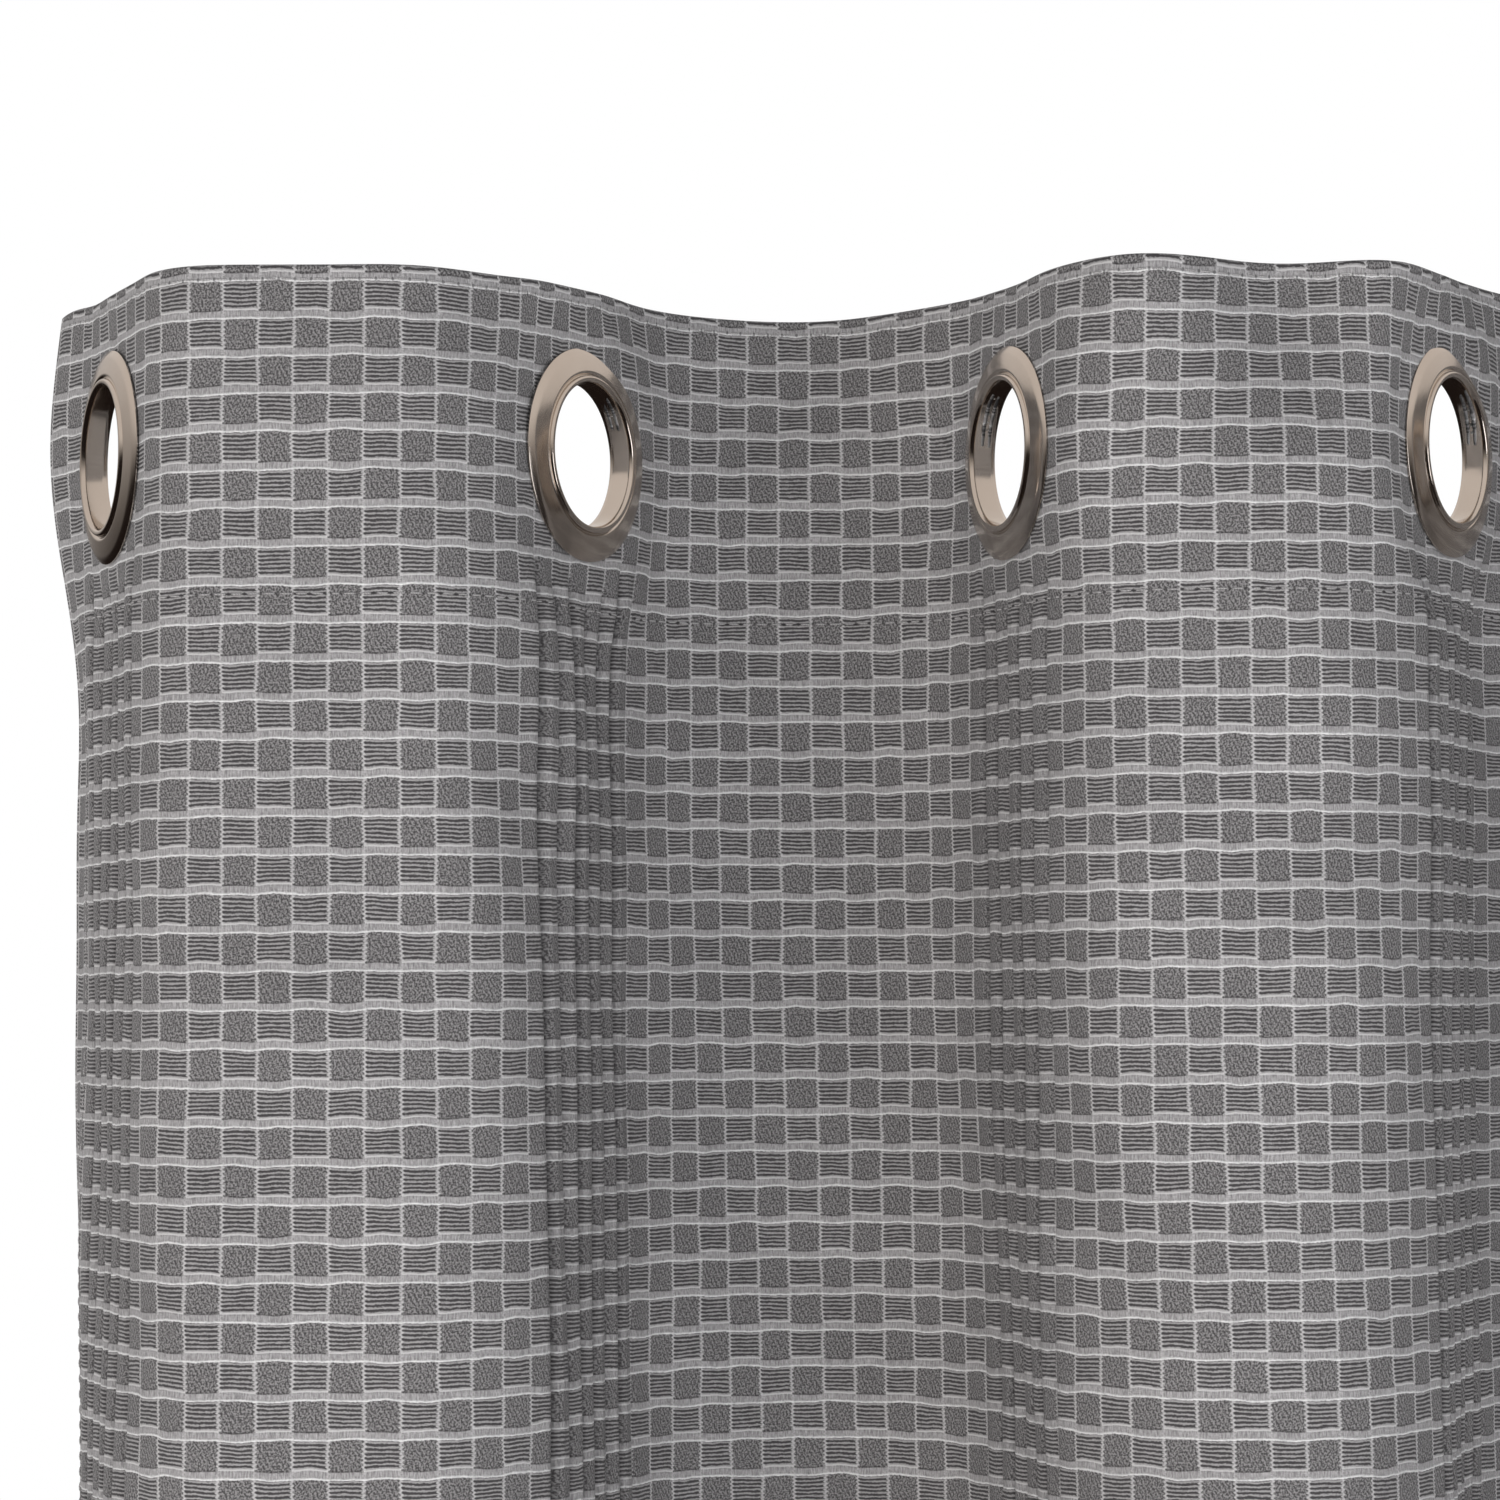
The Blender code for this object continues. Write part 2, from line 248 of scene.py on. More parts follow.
def add_studio():
    """A white studio: soft boxes either side of the camera, and a pale floor below the hem."""
    bpy.context.scene.view_settings.view_transform = "Standard"
    world = bpy.data.worlds.new("studio")
    bpy.context.scene.world = world
    world.use_nodes = True
    tree = world.node_tree
    tree.nodes.clear()
    node = functools.partial(add, tree)
    path = node("LightPath")
    # The room that the metal mirrors is dim and warm below and paler above.
    up = node("SeparateXYZ", node("TexCoord").outputs["Generated"]).outputs["Z"]
    height = node("MapRange", up, -0.16, 0.42, **SOFT)
    mirrored = node("Background", node("Mix", height, linear("261f1c"), linear("fff8f2"), **COLOURS), 0.80)
    ambient = node("Background", linear("fcfdff"), 0.57)
    lit = node("MixShader", path.outputs["Is Glossy Ray"], ambient, mirrored)
    seen = node("Background", WHITE, 1.0)
    node("OutputWorld", node("MixShader", path.outputs["Is Camera Ray"], lit, seen))

    middle = (RINGS_X[-1] / 2, 0.0, -0.35)
    area_light("key_softbox", (-1.6, -1.9, -0.75), middle, (1.1, 1.6), 30.0, "fffaf6", mirrored=False)
    area_light("fill_softbox", (2.1, -2.3, -0.80), middle, (1.2, 1.8), 24.0, "f8faff")
    area_light("low_softbox", (0.3, -2.0, -1.7), middle, (1.6, 0.9), 12.0, "ffffff", mirrored=False)
    area_light("back_softbox", (0.6, 5.0, 1.2), middle, (3.2, 3.2), 330.0, "ffffff", mirrored=False)
    hem = (0.43, 0.0, -1.9)
    area_light("hem_softbox", (0.4, -2.2, -2.0), hem, (1.6, 1.0), 13.0, "ffffff", mirrored=False)

    bpy.ops.mesh.primitive_plane_add(size=30.0, location=(RINGS_X[-1] / 2, 0.0, BOTTOM_Z - 0.012))
    floor = bpy.context.object
    floor.name = "floor"
    floor.visible_glossy = False
    pale, node = new_material("pale_studio_floor")
    # Far from the curtain the floor glows white, so that its edge doesn't show.
    away = node("VectorMath", node("TexCoord").outputs["Object"], operation="LENGTH")
    glow = node("MapRange", away, 2.2, 8.0, **SOFT)
    glowing = {"Emission Color": WHITE, "Emission Strength": glow}
    floor.data.materials.append(surface(pale, {"Base Color": linear("ececea"), "Roughness": 0.9, **glowing}))


# ---------------------------------------------------------------------------------------------------
# Materials
# ---------------------------------------------------------------------------------------------------


def woven_polyester_dobby():
    """Matt grey polyester in a dobby weave. Twill squares and ribbed squares alternate, pale zigzag
    warps part the columns, and under each row of squares a plain band ends in a bright float line."""
    made, node = new_material("grey_polyester_dobby_weave")

    def fibre_noise(across_scale, down_scale, detail):
        """Uneven fibres, about 0.5 on average; the scales are per millimetre."""
        spot = node("CombineXYZ", node("MULTIPLY", across, across_scale), node("MULTIPLY", down, down_scale))
        return node("TexNoise", spot, 1.0, detail, noise_dimensions="2D")

    def line(value, start, end):
        """1 where the value is close to zero, and 0 from start on."""
        return node("MapRange", node("ABSOLUTE", value), start, end, **SOFT)

    place = node("SeparateXYZ", node("UVMap", uv_map="flat_cloth"))
    across = node("MULTIPLY", place.outputs["X"], 1000.0)
    down = node("MULTIPLY", place.outputs["Y"], 1000.0)
    columns = node("DIVIDE", node("ADD", across, COLUMN_SHIFT_MM), CHECK_WIDTH_MM)
    # The float lines bow a little over each square, and threads wander by more than half a millimetre.
    wander = node("MULTIPLY_ADD", fibre_noise(0.10, 0.10, 2.0), 1.3, -0.65)
    rows = node("DIVIDE", node("SUBTRACT", down, FIRST_ROW_MM), CHECK_HEIGHT_MM)
    over_rows = node("COSINE", node("MULTIPLY", rows, math.pi))
    bow = node("MULTIPLY", node("SINE", node("MULTIPLY", columns, math.pi)), over_rows)
    rows = node("ADD", rows, node("DIVIDE", node("MULTIPLY_ADD", bow, 0.17, wander), CHECK_HEIGHT_MM))
    wander = node("MULTIPLY_ADD", fibre_noise(0.12, 0.09, 2.0), 1.2, -0.6)
    columns = node("ADD", columns, node("DIVIDE", wander, CHECK_WIDTH_MM))
    in_row = node("MULTIPLY", node("FRACT", rows), CHECK_HEIGHT_MM)  # mm below the float line
    in_column = node("MULTIPLY", node("FRACT", columns), CHECK_WIDTH_MM)
    both = node("ADD", node("FLOOR", rows), node("FLOOR", columns))
    ribbed = node("GREATER_THAN", node("FRACT", node("MULTIPLY", both, 0.5)), 0.25)
    fibres = fibre_noise(1.7, 2.4, 3.0)
    slubs = fibre_noise(0.45, 2.2, 2.0)

    # A ribbed square ends in a pale line; a twill square ends lower, in broken dark dashes, painted as the
    # shade where it meets the raised plain band.
    rib_foot = node("MULTIPLY", ribbed, line(node("SUBTRACT", in_row, 7.95), 0.34, 0.10))
    shade_dashes = line(node("SUBTRACT", in_row, 8.15), 0.42, 0.10)
    shade_dashes = node("MULTIPLY", shade_dashes, node("SUBTRACT", 1.0, ribbed))
    band = node("MapRange", node("MULTIPLY_ADD", ribbed, 0.35, in_row), 8.2, 8.5, **SOFT)
    row_edge = node("MINIMUM", in_row, node("SUBTRACT", CHECK_HEIGHT_MM, in_row))
    float_line = node("MapRange", node("MULTIPLY_ADD", fibres, 0.5, row_edge), 0.68, 0.30, **SOFT)
    # Ribs: a dark and a light group of wefts every 1.155 mm.
    rib = node("MULTIPLY", node("MULTIPLY_ADD", slubs, 0.42, in_row), 2.0 * math.pi / RIB_MM)
    rib = node("MapRange", node("MULTIPLY_ADD", fibres, -2.2, node("SINE", rib)), -0.55, -2.0, **SOFT)
    # Twill: steep diagonals 1.2 mm apart. The real ones are 0.5 mm apart, too fine to show.
    diagonal = node("MULTIPLY_ADD", across, 0.75, node("MULTIPLY", down, -0.37))
    diagonal = node("ADD", diagonal, node("MULTIPLY", fibres, 0.7))
    twill = node("MULTIPLY_ADD", node("SINE", node("MULTIPLY", diagonal, 2.0 * math.pi)), 0.5, 0.5)
    twill = node("MULTIPLY_ADD", twill, 0.45, node("MULTIPLY_ADD", fibre_noise(2.0, 1.8, 3.0), 4.0, -1.78))
    # The warps between the columns zigzag with the ribs, and catch the light at each turn.
    turn = node("ABSOLUTE", node("SUBTRACT", node("FRACT", node("DIVIDE", in_row, RIB_MM)), 0.5))
    from_warp = node("ADD", in_column, node("MULTIPLY_ADD", turn, 1.3, -0.33))
    from_warp = node("WRAP", from_warp, CHECK_WIDTH_MM / 2, -CHECK_WIDTH_MM / 2)
    beads = node("MULTIPLY_ADD", node("ABSOLUTE", node("SUBTRACT", turn, 0.25)), 1.6, 0.60)
    beads = node("ADD", beads, node("MULTIPLY_ADD", fibres, 0.8, -0.4))
    warp = node("MULTIPLY", line(from_warp, 0.56, 0.22), beads)
    plain_warp = node("MULTIPLY", line(from_warp, 0.5, 0.16), node("MULTIPLY", band, 0.5))
    plain = node("MULTIPLY_ADD", fibre_noise(2.4, 0.5, 3.0), 1.8, -0.4)

    twill_colour = node("Mix", twill, linear("413f40"), linear("807e7e"), **COLOURS)
    rib_colour = node("Mix", rib, linear("3d3b3c"), linear("8e8c8c"), **COLOURS)
    plain_colour = node("Mix", plain, linear("6a6869"), linear("a3a1a1"), **COLOURS)
    cloth = node("Mix", ribbed, twill_colour, rib_colour, **COLOURS)
    for share, colour in (
        (warp, linear("aeacac")),
        (node("MULTIPLY", shade_dashes, node("MULTIPLY_ADD", fibres, 1.6, -0.35)), linear("2b2829")),
        (band, plain_colour),
        (node("MULTIPLY", rib_foot, 0.8), linear("bab8b8")),
        (plain_warp, linear("aaa8a8")),
        (node("MULTIPLY", float_line, node("MULTIPLY_ADD", slubs, 0.9, 0.45)), linear("cbcaca")),
    ):
        cloth = node("Mix", share, cloth, colour, **COLOURS)
    # Dye takes unevenly over the width of a hand.
    dye = node("MULTIPLY_ADD", fibre_noise(0.02, 0.035, 2.0), 0.20, 0.90)
    cloth = node("VectorMath", cloth, dye, operation="SCALE")
    # Painted shade: the bottom of a crease is darkened, as the shade that falls in it.
    shade_in_crease = node("SeparateXYZ", node("UVMap", uv_map="painted_crease_shade")).outputs["X"]
    cloth = node("Mix", node("MULTIPLY", shade_in_crease, 0.9), cloth, linear("232122"), **COLOURS)
    # Needle holes where the stitches go in, painted as dark spots of shade.
    along = node("WRAP", across, STITCH * 500, -STITCH * 500)
    for stitch_row in (TOP_STITCH * 1000, SEAM_STITCH * 1000):
        away = node("MULTIPLY", node("SUBTRACT", down, stitch_row), 0.7)
        reach = node("ADD", node("MULTIPLY", along, along), node("MULTIPLY", away, away))
        needle_hole_shade = node("MULTIPLY", node("MapRange", reach, 0.22, 0.06, **SOFT), 0.6)
        cloth = node("Mix", needle_hole_shade, cloth, linear("262425"), **COLOURS)

    relief = node("MULTIPLY", ribbed, node("MULTIPLY", rib, 0.60))
    for thread, height in ((warp, 0.75), (band, 0.35), (rib_foot, 0.8), (float_line, 1.0)):
        relief = node("MAXIMUM", relief, node("MULTIPLY", thread, height))
    relief = node("MULTIPLY_ADD", fibres, 0.8, relief)
    bump = node("Bump", Strength=0.8, Distance=0.00025, Height=relief)
    matt = {"Roughness": 0.88, "Specular IOR Level": 0.2, "Sheen Weight": 0.06}
    return surface(made, {"Base Color": cloth, "Normal": bump, **matt})


def polyester_thread():
    """Spun polyester sewing thread: matt, a shade paler than the cloth, with a visible twist."""
    made, node = new_material("grey_spun_polyester_thread")
    place = node("TexCoord").outputs["Object"]
    twist = node("TexWave", Vector=place, Scale=900.0, Distortion=1.5, bands_direction="DIAGONAL")
    colour = node("Mix", twist.outputs["Fac"], linear("7a7878"), linear("a09e9e"), **COLOURS)
    return surface(made, {"Base Color": colour, "Roughness": 0.8})


def nonwoven_stiffener():
    """Bonded non-woven polyester: white, fibrous and faintly cloudy."""
    made, node = new_material("white_bonded_nonwoven")
    place = node("TexCoord").outputs["Object"]
    fibres = node("TexNoise", Vector=place, Scale=900.0, Detail=4.0, Distortion=1.2)
    colour = node("Mix", fibres, linear("d2d0cb"), linear("efeeea"), **COLOURS)
    bump = node("Bump", Strength=0.4, Distance=0.0001, Height=fibres)
    return surface(made, {"Base Color": colour, "Normal": bump, "Roughness": 0.95})


def satin_nickel():
    """Nickel plate over a pressed steel ring, satin finished: warm grey, with soft stretched highlights
    and faint rings left by the polishing wheel."""
    made, node = new_material("satin_nickel_plated_steel")
    place = node("TexCoord").outputs["Object"]
    split = node("SeparateXYZ", place)
    squares = [node("POWER", split.outputs[axis], 2.0) for axis in ("X", "Y")]
    radius = node("POWER", node("ADD", *squares), 0.5)
    rings = node("TexNoise", Vector=node("CombineXYZ", radius, split.outputs["Z"]), Scale=5200.0, Detail=2.0)
    cloudy = node("TexNoise", Vector=place, Scale=60.0, Detail=3.0)
    tone = node("Mix", cloudy, linear("c2b6ab"), linear("d3c9bf"), **COLOURS)
    gloss = node("MapRange", rings, 0.3, 0.7, 0.12, 0.22)
    bump = node("Bump", Strength=0.25, Distance=0.00002, Height=rings)
    return surface(made, {"Base Color": tone, "Roughness": gloss, "Normal": bump, "Metallic": 1.0})


def satin_label():
    """Woven polyester satin ribbon: white, smooth, a soft shine across the threads. Blank."""
    made, node = new_material("white_woven_satin_ribbon")
    place = node("TexCoord").outputs["Object"]
    threads = node("TexWave", Vector=place, Scale=700.0, Distortion=0.6, bands_direction="Z").outputs["Fac"]
    colour = node("Mix", threads, linear("dedcd6"), linear("f4f3ef"), **COLOURS)
    bump = node("Bump", Strength=0.3, Distance=0.00005, Height=threads)
    return surface(made, {"Base Color": colour, "Normal": bump, "Roughness": 0.42})


# ---------------------------------------------------------------------------------------------------
# The hanging cloth's shape
# ---------------------------------------------------------------------------------------------------


def swept(turn, flat, bend):
    """Distances along and across the rod, at each step from an eyelet to the crest beside it."""
    steps = np.arange(0.0, HALF_FLAT + SWEEP_STEP / 2, SWEEP_STEP)
    angle = math.radians(turn) * (1.0 - smooth((steps - flat) / bend))
    along = np.concatenate(([0.0], np.cumsum(np.cos(angle[1:] / 2 + angle[:-1] / 2)) * SWEEP_STEP))
    across = np.concatenate(([0.0], np.cumsum(np.sin(angle[1:] / 2 + angle[:-1] / 2)) * SWEEP_STEP))
    return steps, along, across


def half_fold(turn, flat, reach):
    """The half fold whose crest lies at the distance reach along the rod."""
    least, most = 0.2 * (HALF_FLAT - flat), HALF_FLAT - flat
    for _ in range(20):
        bend = (least + most) / 2
        if swept(turn, flat, bend)[1][-1] > reach:
            least = bend
        else:
            most = bend
    return swept(turn, flat, bend)


def plan_curve(turns, flat):
    """The cloth's curve from above, as three rows: place along the flat cloth, X and Y."""
    rows = []
    for fold, pitch in enumerate(PITCHES):
        side = -1.0 if fold % 2 == 0 else 1.0
        sides = [half_fold(turn, flat, pitch / 2) for turn in turns[fold : fold + 2]]
        depth = (sides[0][2][-1] + sides[1][2][-1]) / 2
        for end, (steps, along, across) in enumerate(sides):
            late = smooth((steps - flat) / (HALF_FLAT - flat))
            along = along + (pitch / 2 - along[-1]) * late
            across = (across + (depth - across[-1]) * late) * side
            if end == 0:
                rows.append((fold * EYELET_SPACING + steps, RINGS_X[fold] + along, across))
            else:
                place = (fold + 1) * EYELET_SPACING - steps
                rows.append((place[::-1], RINGS_X[fold + 1] - along[::-1], across[::-1]))
    # The side tabs carry on behind the rod line, and turn a little towards the rod's direction.
    tab = np.arange(SWEEP_STEP, SIDE_TAB + 8 * SWEEP_STEP, SWEEP_STEP)
    for ring, way in ((0, -1.0), (EYELET_COUNT - 1, 1.0)):
        angle = math.radians(turns[ring]) * (1.0 - 0.35 * smooth((tab - flat) / (2 * SIDE_TAB - flat)))
        along = np.cumsum(np.cos(angle)) * SWEEP_STEP * way + RINGS_X[ring]
        across = np.cumsum(np.sin(angle)) * SWEEP_STEP
        place = ring * EYELET_SPACING + way * tab
        if way < 0:
            rows.insert(0, (place[::-1], along[::-1], across[::-1]))
        else:
            rows.append((place, along, across))
    curve = np.array([np.concatenate(parts) for parts in zip(*rows, strict=True)])
    places, first = np.unique(curve[0].round(7), return_index=True)
    return np.array([places, curve[1][first], curve[2][first]])


def softened(curve):
    """The curve on an even grid, with its small kinks smoothed over 4 mm."""
    even = np.arange(curve[0][0], curve[0][-1], SWEEP_STEP)
    window = np.hanning(11)
    window /= window.sum()
    rows = [even]
    for values in curve[1:]:
        line = np.interp(even, curve[0], values)
        padded = np.concatenate((2 * line[0] - line[5:0:-1], line, 2 * line[-1] - line[-2:-7:-1]))
        rows.append(np.convolve(padded, window, "valid"))
    return np.array(rows)


HELD = softened(plan_curve(CLOTH_TURNS, RING_ZONE))
FREE = softened(plan_curve((FREE_TURN,) * EYELET_COUNT, 0.0))
WAVES = np.random.default_rng(7).uniform(0.0, 1.0, (14, 4))


def unevenness(place, z):
    """Slow ripples of hanging cloth, about half a millimetre deep."""
    total = np.zeros(np.broadcast(place, z).shape)
    for first, second, third, phase in WAVES:
        wide = 0.045 + 0.10 * first
        tall = 0.09 + 0.55 * second
        total = total + (0.4 + third) * np.sin(
            2 * np.pi * (place / wide + z / tall + phase) + 0.8 * np.sin(z / tall * 2.1 + 6.0 * first)
        )
    return total * 0.00022


def nearest_ring(place):
    """The number, from 0, of the eyelet nearest to each place along the cloth."""
    return np.clip(np.round(place / EYELET_SPACING), 0, EYELET_COUNT - 1).astype(int)


def plan_point(place, z):
    """X and Y of the cloth without creases. place and z are arrays that broadcast together."""
    ring = nearest_ring(place)
    from_ring = np.hypot(place - ring * EYELET_SPACING, z - EYELET_Z)
    roundness = np.interp(place / EYELET_SPACING - 0.5, np.arange(EYELET_COUNT - 1), ROUNDNESS)
    settled = roundness + (1.0 - roundness) * smooth((HELD_Z - z) / SETTLE_DROP)
    settled = settled * smooth((from_ring - RING_ZONE) / NEAR_RING)
    fold = np.clip(np.floor(place / EYELET_SPACING), 0, EYELET_COUNT - 2).astype(int)
    inside = (place > 0) & (place < PANEL_END)
    side = np.where(fold % 2 == 0, -1.0, 1.0) * inside
    out = smooth((np.abs(place - ring * EYELET_SPACING) - RING_ZONE) / (HALF_FLAT - RING_ZONE)) * side
    low = smooth((HELD_Z - 0.01 - z) / SWELL_DROP)
    depth = np.array(SWELL)[fold] * low
    high = smooth((z - (TOP_Z - EDGE_WAVE_DROP)) / EDGE_WAVE_DROP)
    edge = sum(deep * np.exp(-(((place - at) / wide) ** 2)) for at, wide, deep in EDGE_WAVES) * high
    waver = 0.0035 * np.sin(z * 4.1 + fold * 1.9) * low
    x = np.interp(place, HELD[0], HELD[1]) * (1 - settled) + np.interp(place, FREE[0], FREE[1]) * settled
    y = np.interp(place, HELD[0], HELD[2]) * (1 - settled) + np.interp(place, FREE[0], FREE[2]) * settled
    sway = 0.0045 * low * np.sin(z * 2.3 + place * 7.0)
    # The side edges stand out a little beside the end eyelets, and draw in below the heading.
    beyond = np.where(place < 0, place, np.maximum(place - PANEL_END, 0.0))
    flare = smooth((np.abs(beyond) - 0.030) / (SIDE_TAB - 0.030)) * np.sign(beyond)
    beside = np.exp(-(((z - EYELET_Z - 0.005) / 0.045) ** 2))
    sway = sway + flare * (0.0078 * beside - 0.0032 - 0.0030 * low)
    return x + sway, y + out * (depth + waver) + edge


def crease_shape(place, z):
    """Narrow upright creases under each eyelet, where the flat heading lets go of the gathered cloth.
    They run along the borders between the weave's columns, where it is weakest. Gives the height of the
    cloth and, from 0 to 1, the painted shade that darkens the bottom of a crease."""
    ring = nearest_ring(place)
    off = place - ring * EYELET_SPACING
    column = (place * 1000.0 + COLUMN_SHIFT_MM) / CHECK_WIDTH_MM
    border = np.round(column)
    away = (column - border) * CHECK_WIDTH_MM / 1000.0
    depth = 0.7 + 0.3 * np.sin(border * 2.4 + z * 5.0)
    bulge = np.abs(np.sin(np.pi * column)) ** 0.6
    sharp = np.exp(-((away / CREASE_WIDTH) ** 2))
    valley = 0.45 * bulge - 0.25 - 0.65 * sharp
    near = 1.0 - smooth((np.abs(off) - 0.5 * CREASE_ZONE) / (0.5 * CREASE_ZONE))
    below = smooth((EYELET_Z - 0.010 - z) / 0.03)
    below = below * smooth((np.hypot(off, z - EYELET_Z) - RING_ZONE) / 0.016)
    far_down = 1.0 - 0.75 * smooth((-0.45 - z) / 0.9)
    strength = np.array(CREASES)[ring] * depth * near * below * far_down
    # Painted shade at the bottom of a crease, a little wider than its sharp part.
    painted_shade = np.exp(-((away / (1.6 * CREASE_WIDTH)) ** 2))
    return strength * valley, strength * painted_shade / max(CREASES)


def cloth_middle(place, z, creased=True):
    """The point of the heading's middle surface, or of its continuation down the drop."""
    step = 0.0004
    x, y = plan_point(place, z)
    ahead, behind = plan_point(place + step, z), plan_point(place - step, z)
    tangent = np.array([ahead[0] - behind[0], ahead[1] - behind[1]])
    tangent /= np.hypot(*tangent)
    ring = nearest_ring(place)
    from_ring = np.hypot(place - ring * EYELET_SPACING, z - EYELET_Z)
    loose = smooth((from_ring - RING_ZONE) / 0.02)
    height = unevenness(place, z) * loose
    if creased:
        height = height + crease_shape(place, z)[0]
    rise = np.interp(place, *EDGE_RISE) * smooth((z - EYELET_Z) / (TOP_Z - EYELET_Z))
    return np.stack([x + tangent[1] * height, y - tangent[0] * height, z + rise + 0.0 * x], axis=-1)


def cloth_tangents(place, z, creased):
    """Right-side normal and sideways tangent of the middle surface."""
    step = 0.0005
    sideways = cloth_middle(place + step, z, creased) - cloth_middle(place - step, z, creased)
    upward = cloth_middle(place, z + step, creased) - cloth_middle(place, z - step, creased)
    normal = np.cross(sideways, upward)
    normal /= np.linalg.norm(normal, axis=-1, keepdims=True)
    sideways /= np.linalg.norm(sideways, axis=-1, keepdims=True)
    return normal, sideways


def cloth_frame(place, z):
    """Middle point with its creases, and the normal and sideways tangent without them, which the layers
    are offset along so that they don't cross in a sharp crease."""
    place, z = np.broadcast_arrays(np.asarray(place, float), np.asarray(z, float))
    return cloth_middle(place, z), *cloth_tangents(place, z, False)


# ---------------------------------------------------------------------------------------------------
# Meshes from the cloth's shape
# ---------------------------------------------------------------------------------------------------


def cloth_route():
    """Rows down the cloth, from the heading's foot at the back, over the top and down the front, and up
    the inside of the bottom hem: length along the cloth, height, offset, and the right side's normal and
    upward parts."""
    rows = []
    turn = LAYER
    top_middle = TOP_Z - turn - CLOTH / 2
    for z in np.linspace(SEAM_Z, top_middle, 20)[:-1]:
        rows.append((-(TOP_Z - z), z, -LAYER, -1.0, 0.0))
    for angle in np.radians(np.linspace(-90, 90, 9)):
        out, rise = math.sin(angle), math.cos(angle)
        rows.append((turn * angle, top_middle + turn * rise, turn * out, out, rise))
    fine = np.arange(top_middle - 0.0015, -0.36, -0.0030)
    coarse = np.linspace(fine[-1], BOTTOM_Z + 0.004, 150)[1:]
    for z in (*fine, *coarse):
        rows.append((TOP_Z - z, z, LAYER, 1.0, 0.0))
    turn = (LAYER - HEM_LAYER) / 2
    low_middle = BOTTOM_Z + turn + CLOTH / 2
    for angle in np.radians(np.linspace(0, 180, 9)):
        out, fall = math.cos(angle), math.sin(angle)
        along = DROP + turn * (angle - math.pi / 2)
        rows.append((along, low_middle - turn * fall, HEM_LAYER + turn + turn * out, out, -fall))
    for z in np.linspace(low_middle, BOTTOM_Z + BOTTOM_HEM, 9)[1:]:
        rows.append((DROP + z - BOTTOM_Z, z, HEM_LAYER, -1.0, 0.0))
    return np.array(rows)


ROUTE = cloth_route()


def edge_columns(edge, way):
    """Columns round a side edge: distance beyond it, place, step back from the right side, and the
    normal's outward and sideways parts. way is -1 at the left edge and 1 at the right."""
    turn = SIDE_TURN
    columns = []
    for angle in np.radians(np.linspace(22.5, 180, 8)):
        out, side = math.cos(angle), math.sin(angle)
        columns.append((turn * angle, edge + way * turn * (side - 1), turn * (1 - out), out, way * side))
    for back in np.linspace(0.0, SIDE_HEM, 7)[1:]:
        columns.append((turn * math.pi + back, edge - way * (turn + back), 2 * turn, -1.0, 0.0))
    return columns


def even_columns(low, high):
    """Places across a piece: even ones on the folds, and by an eyelet ones that follow each crease."""
    width, shift = CHECK_WIDTH_MM / 1000.0, COLUMN_SHIFT_MM / 1000.0
    ring = nearest_ring((low + high) / 2)
    numbers = np.arange(math.floor((low + shift) / width), math.ceil((high + shift) / width) + 1)
    borders = numbers * width - shift
    creased = borders[np.abs(borders - ring * EYELET_SPACING) < CREASE_ZONE + width / 2]
    places = [border + step for border in creased for step in CREASE_STEPS]
    reach = (min(places) - 0.001, max(places) + 0.001) if places else (low, low)
    places += [place for place in np.arange(low, high, FLAT_STEP) if not reach[0] < place < reach[1]]
    inner = [place for place in sorted(places) if low + 0.0003 < place < high - 0.0003]
    return np.array([low, *inner, high])


def placed(name, mesh, coat):
    """An object in the scene with this mesh and material."""
    mesh.materials.append(coat)
    made = bpy.data.objects.new(name, mesh)
    bpy.context.scene.collection.objects.link(made)
    return made


def closed_mesh(name, points, normals, faces, thickness, uvs, coat):
    """A sheet with two sides and a rim. faces index the points, and uvs maps the name of a UV layer to
    its points."""
    count = len(points)
    half = normals * (thickness / 2)
    vertices = np.concatenate((points + half, points - half))
    edges = dict.fromkeys(edge for face in faces for edge in zip(face, (*face[1:], face[0]), strict=True))
    open_edges = [edge for edge in edges if edge[::-1] not in edges]
    rim = [(second, first, first + count, second + count) for first, second in open_edges]
    faces = np.array(faces)
    under = faces[:, ::-1] + count
    polygons = np.concatenate((faces, under, np.array(rim)))
    used = np.unique(polygons)
    remap = np.full(2 * count, -1)
    remap[used] = np.arange(len(used))
    mesh = bpy.data.meshes.new(name)
    mesh.from_pydata(vertices[used].tolist(), [], remap[polygons].tolist())
    corners = polygons.ravel()
    for layer, spots in uvs.items():
        both = np.concatenate((spots, spots))
        made = mesh.uv_layers.new(name=layer)
        made.uv.foreach_set("vector", both[corners].astype(np.float32).ravel())
    mesh.shade_smooth()
    mesh.normals_split_custom_set_from_vertices(np.concatenate((normals, -normals))[used].tolist())
    return placed(name, mesh, coat)


def clear_cells(cut):
    """The cells of a grid with no corner cut away."""
    return ~(cut[:-1, :-1] | cut[1:, :-1] | cut[:-1, 1:] | cut[1:, 1:])


